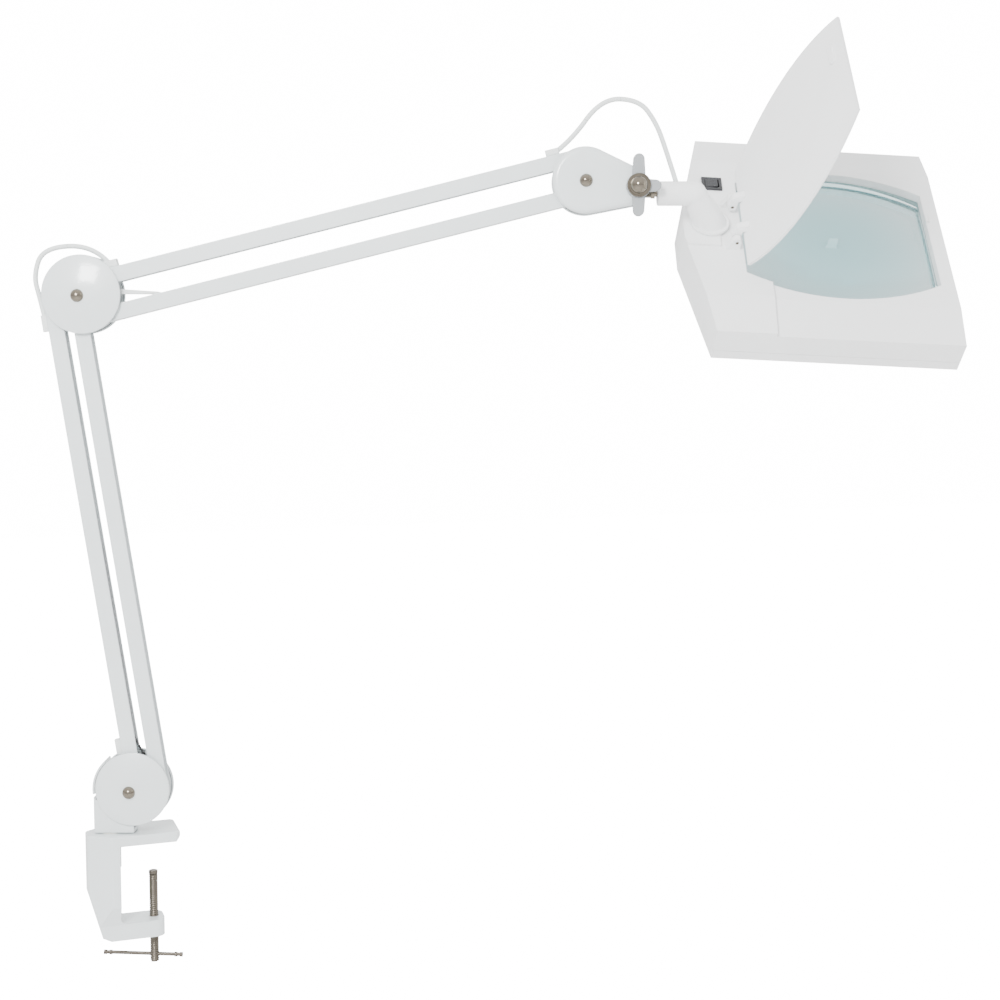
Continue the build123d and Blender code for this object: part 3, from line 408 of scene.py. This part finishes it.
def tube_rings(path: np.ndarray, side: np.ndarray, radius: float | np.ndarray, columns: int) -> np.ndarray:
    """Rings of a tube round a path.

    Args:
        path: Points along the centre line.
        side: A vector beside the path at each point.
        radius: The tube's radius, or one for each point.
        columns: Points round each ring.

    Returns:
        Array of rings, columns and coordinates.
    """
    tangent = np.gradient(path, axis=0)
    tangent /= np.linalg.norm(tangent, axis=1, keepdims=True)
    side = side - (side * tangent).sum(1, keepdims=True) * tangent
    side /= np.linalg.norm(side, axis=1, keepdims=True)
    other = np.cross(tangent, side)
    turn = np.linspace(0, 2 * math.pi, columns, endpoint=False)
    ring = np.cos(turn)[None, :, None] * side[:, None] + np.sin(turn)[None, :, None] * other[:, None]
    size = np.broadcast_to(np.asarray(radius, float), (len(path),))[:, None, None]
    return path[:, None] + ring * size


def basis(direction: Vector) -> tuple[np.ndarray, np.ndarray, np.ndarray]:
    """Direction and two vectors across it, as arrays."""
    d = direction.normalized()
    side = d.orthogonal().normalized()
    return np.array(d), np.array(side), np.array(d.cross(side))


# ------------------------------------------------------------------ sub-assemblies

@dataclass
class ClampScrew:
    """The clamp's threaded rod, cut with a real helical thread."""

    wardrobe: Wardrobe
    depth: float = 0.55 * MM
    flank: float = 2.6
    crest: float = 0.15
    lead_in_length: float = 0.9 * MM
    lead_in_depth: float = 0.7 * MM
    tip_gap: float = 0.1 * MM
    columns: int = 40
    per_turn: int = 10

    def build(self) -> bpy.types.Object:
        """Makes the threaded rod in place of the plain one."""
        low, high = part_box("clamp_screw")
        tip_low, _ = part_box("screw_tip")
        feed = next(c for c in frame["record"]["behaviour"]["couplings"] if c["joint"] == "screw_turn")
        pitch = 2 * math.pi / feed["ratio"]
        radius = (high[0] - low[0]) / 2
        top = tip_low[2] - self.tip_gap
        rows = int((top - low[2]) / pitch * self.per_turn)
        z = np.linspace(low[2], top, rows)
        turn = np.linspace(0, 2 * math.pi, self.columns, endpoint=False)
        phase = (z[:, None] / pitch - turn[None, :] / (2 * math.pi)) % 1.0
        tooth = np.clip(np.abs(phase - 0.5) * self.flank - self.crest, 0, 1)
        ends = np.clip(np.minimum(z - low[2], top - z) / self.lead_in_length, 0, 1)[:, None]
        size = radius - self.depth * tooth - self.lead_in_depth * (1 - ends)
        middle = (np.array(low) + np.array(high)) / 2
        ring = np.stack([middle[0] + size * np.cos(turn), middle[1] + size * np.sin(turn),
                         np.broadcast_to(z[:, None], size.shape)], -1)
        piece = grid_mesh("clamp_thread", ring, wrap=True, caps=True)
        self.wardrobe.stand_in(piece, "screw_steel", "clamp_screw")
        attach(piece, "clamp_screw")
        log.info("clamp screw: %d rows of thread", rows)
        return piece


@dataclass
class CoilSpring:
    """A closed-wound extension spring lying in a bar's channel."""

    wardrobe: Wardrobe
    node: str
    body: str
    start: Vector
    direction: Vector
    length: float = 170.0 * MM
    outer: float = 4.6 * MM
    wire: float = 0.62 * MM
    spacing: float = 2.02
    steps: int = 14
    columns: int = 6

    def build(self) -> bpy.types.Object:
        """Winds the spring in place of its plain tube."""
        along, side, other = basis(self.direction)
        pitch = self.wire * self.spacing
        turns = int((self.length - 2 * self.wire) / pitch)
        count = turns * self.steps
        angle = np.linspace(0, turns * 2 * math.pi, count)
        way = self.wire + (self.length - 2 * self.wire) * np.linspace(0, 1, count)
        radial = np.cos(angle)[:, None] * side + np.sin(angle)[:, None] * other
        path = np.array(self.start) + way[:, None] * along + radial * (self.outer - self.wire)
        rings = tube_rings(path, radial, self.wire, self.columns)
        piece = grid_mesh(self.node + "_coil", rings, wrap=True, caps=True)
        self.wardrobe.stand_in(piece, "spring_steel", self.node)
        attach(piece, self.body)
        log.info("%s: %d turns", self.node, turns)
        return piece


@dataclass
class LeadStretch:
    """One stretch of the lead, across one joint."""

    node: str
    first_body: str
    second_body: str
    corners: list[Vector]


@dataclass
class Lead:
    """The lead where it leaves the bars and loops over the elbow and the head's joints."""

    wardrobe: Wardrobe
    arm: ArmPlane
    radius: float = 2.28 * MM
    boot_middle: float = 10.1
    upper_boot_middle: float = 12.1
    elbow_setback: float = 14.5
    upper_setback: float = 15.0
    head_setback: float = 22.0
    stretches: list[LeadStretch] = field(default_factory=list)

    def elbow(self) -> None:
        """Corners of the loop over the elbow."""
        arm = self.arm
        pivot, low = arm.place("elbow_level"), arm.place("lower_swing")
        a, b = arm.place("upper_swing"), arm.place("end_level")
        length = (pivot - low).length / MM
        start = arm.beside(low, pivot, length - self.elbow_setback, self.boot_middle)
        left, right = arm.near(pivot, -8, 47), arm.near(pivot, 37, 49.5)
        top = left.lerp(right, 0.5)
        finish = arm.beside(a, b, self.upper_setback, self.upper_boot_middle)
        lower = [start, arm.near(pivot, -12, 2), arm.near(pivot, -17, 22), left, top]
        self.stretches.append(LeadStretch("elbow_cable_lower", "lower_left", "elbow", lower))
        self.stretches.append(LeadStretch("elbow_cable_upper", "elbow", "upper_top", [top, right, finish]))

    def head(self) -> None:
        """Corners of the loop over the tilt joint and the neck."""
        arm = self.arm
        a, b, knob = arm.place("upper_swing"), arm.place("end_level"), arm.place("head_tilt")
        length = (b - a).length / MM
        start = arm.beside(a, b, length - self.head_setback, self.boot_middle)
        spots = ((-9.5, 15.5), (16.5, 51.5), (50.5, 50.0), (65.4, 30.4), (74.2, 7.8))
        corners = [arm.near(b, x, z) for x, z in spots]
        middle, apex = corners[0].lerp(corners[1], 0.46), corners[1].lerp(corners[2], 0.5)
        hole = arm.near(knob, 36.4, 2.7)
        self.stretches += [
            LeadStretch("head_cable_rear", "upper_top", "end_bracket", [start, corners[0], middle]),
            LeadStretch("head_cable_middle", "end_bracket", "knuckle", [middle, corners[1], apex]),
            LeadStretch("head_cable_front", "knuckle", "neck", [apex, *corners[2:], hole])]

    def lay(self, stretch: LeadStretch) -> bpy.types.Object:
        """Lays one stretch as a smooth tube.

        Args:
            stretch: The stretch's node, its two bodies and its corners.

        Returns:
            The tube, with its shape in its own mesh.
        """
        curve = bpy.data.curves.new(stretch.node + "_lead", "CURVE")
        curve.dimensions = "3D"
        spline = curve.splines.new("NURBS")
        spline.points.add(len(stretch.corners) - 1)
        for point, corner in zip(spline.points, stretch.corners):
            point.co = (*corner, 1.0)
        spline.order_u = 3
        spline.use_endpoint_u = True
        curve.resolution_u = 24
        curve.bevel_depth = self.radius
        curve.bevel_resolution = 6
        curve.use_fill_caps = True
        holder = bpy.data.objects.new(stretch.node + "_curve", curve)
        bpy.context.scene.collection.objects.link(holder)
        bpy.context.view_layer.update()
        mesh = bpy.data.meshes.new_from_object(holder.evaluated_get(bpy.context.evaluated_depsgraph_get()))
        bpy.data.objects.remove(holder)
        mesh.shade_smooth()
        piece = bpy.data.objects.new(stretch.node + "_lead", mesh)
        bpy.context.scene.collection.objects.link(piece)
        self.wardrobe.stand_in(piece, "cable_white", stretch.node)
        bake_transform(piece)
        log.info("%s: %d corners", stretch.node, len(stretch.corners))
        return piece

    def build(self) -> list[bpy.types.Object]:
        """Lays both loops."""
        self.elbow()
        self.head()
        return [self.lay(stretch) for stretch in self.stretches]


@dataclass
class Arm:
    """What the arm's bars hold: the two springs and the lead."""

    wardrobe: Wardrobe
    arm: ArmPlane
    lower_start: float = 52.0
    upper_start: float = 78.0
    shift: float = 0.8

    def build(self) -> None:
        """Builds the springs and the lead."""
        arm = self.arm
        a, b = arm.place("lower_swing"), arm.place("elbow_level")
        c = arm.place("upper_bottom_swing")
        run = arm.place("end_level") - arm.place("upper_swing")
        CoilSpring(self.wardrobe, "lower_spring", "lower_left",
                   arm.beside(a, b, self.lower_start, -self.shift), b - a).build()
        CoilSpring(self.wardrobe, "upper_spring", "upper_bottom",
                   arm.beside(c, c + run, self.upper_start, self.shift), run).build()
        Lead(self.wardrobe, arm).build()


# ------------------------------------------------------------------ studio

class Softness(Enum):
    """How wide a light is, in metres."""

    WIDE = 1.6
    NARROW = 0.5


@dataclass(frozen=True)
class SoftLight:
    """One square area light aimed at a point."""

    name: str
    spot: Point
    power: float
    softness: Softness = Softness.WIDE

    def build(self, target: Vector) -> bpy.types.Object:
        """Hangs the light and aims it."""
        data = bpy.data.lights.new(self.name, "AREA")
        data.energy = self.power
        data.size = self.softness.value
        light = bpy.data.objects.new(self.name, data)
        light.location = self.spot
        light.rotation_euler = (target - Vector(self.spot)).to_track_quat("-Z", "Y").to_euler()
        bpy.context.scene.collection.objects.link(light)
        return light


LIGHTS = (
    SoftLight("key", (-0.8, -1.5, 1.15), 52.0, Softness.NARROW),
    SoftLight("fill", (2.6, -1.2, 1.6), 9.0),
    SoftLight("rim", (0.8, 2.2, 2.0), 22.0),
)


@dataclass
class Studio:
    """Pale floor, soft light and the camera."""

    arm: ArmPlane
    camera_reach: float = 362.1
    camera_back: float = 1480.0
    camera_height: float = 431.2
    camera_pitch: float = 5.0
    lens: float = 58.32
    floor_half: float = 8.0
    floor_gap: float = 0.45
    backdrop: float = 16.0
    sky: tuple[float, float] = (0.45, 2.3)

    def camera(self) -> bpy.types.Object:
        """Sets the camera level with the arm's plane, looking a little down."""
        data = bpy.data.cameras.new("camera")
        data.lens = self.lens
        data.sensor_width = 36.0
        data.clip_end = 50.0
        camera = bpy.data.objects.new("camera", data)
        spot = self.arm.near(self.arm.foot, self.camera_reach, self.camera_height, -self.camera_back)
        pitch = math.radians(self.camera_pitch)
        look = self.arm.across * math.cos(pitch) - self.arm.up * math.sin(pitch)
        side = look.cross(self.arm.up).normalized()
        rise = side.cross(look)
        turn = Matrix((side, rise, -look)).transposed().to_4x4()
        camera.matrix_world = Matrix.Translation(spot) @ turn
        bpy.context.scene.collection.objects.link(camera)
        bpy.context.scene.camera = camera
        return camera

    def floor(self) -> bpy.types.Object:
        """Lays a wide pale floor, lower than the head and the clamp screw ever reach."""
        half, z = self.floor_half, CAD_LOW[2] - self.floor_gap
        corners = np.array([[(x, y, z) for x in (-half, half)] for y in (-half, half)], float)
        floor = grid_mesh("floor", corners, wrap=False)
        graph = NodeGraph("floor")
        graph.value("Base Color", (0.90, 0.90, 0.90, 1))
        graph.value("Roughness", 0.9)
        graph.value("Emission Color", (1.0, 1.0, 1.0, 1))
        straight = graph.add("ShaderNodeLightPath").outputs["Is Camera Ray"]
        glow = graph.span(straight, 0.0, self.backdrop, 0.0, 1.0)
        graph.link(glow, graph.shader.inputs["Emission Strength"])
        floor.data.materials.append(graph.material)
        return floor

    def world(self) -> None:
        """White behind the lamp, and a sky brighter above than below to light it."""
        world = bpy.data.worlds.new("studio")
        world.use_nodes = True
        nodes, links = world.node_tree.nodes, world.node_tree.links
        background = nodes["Background"]
        background.inputs[0].default_value = (1.0, 1.0, 1.0, 1)
        height = nodes.new("ShaderNodeSeparateXYZ")
        links.new(nodes.new("ShaderNodeTexCoord").outputs["Generated"], height.inputs[0])
        fade = nodes.new("ShaderNodeMapRange")
        for key, amount in zip(("From Min", "From Max", "To Min", "To Max"), (-1.0, 1.0, *self.sky)):
            fade.inputs[key].default_value = amount
        links.new(height.outputs["Z"], fade.inputs["Value"])
        choice = nodes.new("ShaderNodeMix")
        links.new(nodes.new("ShaderNodeLightPath").outputs["Is Camera Ray"], choice.inputs[0])
        links.new(fade.outputs[0], choice.inputs[2])
        choice.inputs[3].default_value = self.backdrop
        links.new(choice.outputs[0], background.inputs[1])
        bpy.context.scene.world = world

    def build(self) -> None:
        """Builds the whole studio."""
        self.camera()
        self.floor()
        self.world()
        target = (CAD_LOW + CAD_HIGH) / 2
        for light in LIGHTS:
            light.build(target)
            log.info("light %s: %.0f W", light.name, light.power)


def main() -> None:
    """Builds the lamp's visual pieces and the studio."""
    arm = ArmPlane()
    wardrobe = Wardrobe()
    Studio(arm).build()
    wardrobe.dress_frame()
    Arm(wardrobe, arm).build()
    ClampScrew(wardrobe).build()


if __name__ == "__main__":
    main()
